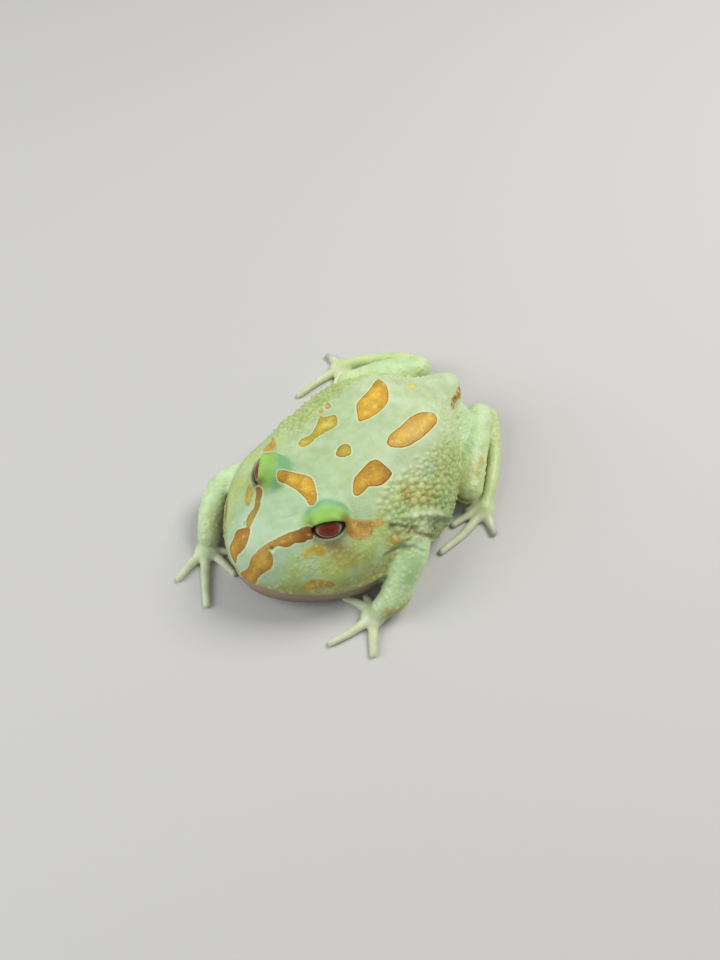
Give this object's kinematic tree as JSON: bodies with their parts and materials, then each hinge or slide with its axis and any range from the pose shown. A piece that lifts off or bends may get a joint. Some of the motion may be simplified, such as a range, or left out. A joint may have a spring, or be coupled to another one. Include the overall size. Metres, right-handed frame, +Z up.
{
  "type": "horned frog",
  "caption": "Life-size still model of a young horned frog with pale skin and golden blotches, squatting with its belly, hands and feet on the floor.",
  "frame": {"origin": "on the floor, under the middle of the frog's box", "axes": "-Y the way the snout points, +X the frog's left side, +Z up"},
  "size_m": [0.072, 0.0908, 0.027],
  "materials": {
    "skin": "moist pale mint skin with golden blotches and small warts",
    "eye": "wet and glossy"
  },
  "bodies": {
    "root": {"head": "skin", "lower_jaw": "skin", "torso": "skin", "eye_left": "eye", "eye_right": "eye", "upper_arm_left": "skin", "forearm_left": "skin", "hand_left": "skin", "thigh_left": "skin", "shank_left": "skin", "foot_left": "skin", "upper_arm_right": "skin", "forearm_right": "skin", "hand_right": "skin", "thigh_right": "skin", "shank_right": "skin", "foot_right": "skin"}
  },
  "joints": []
}
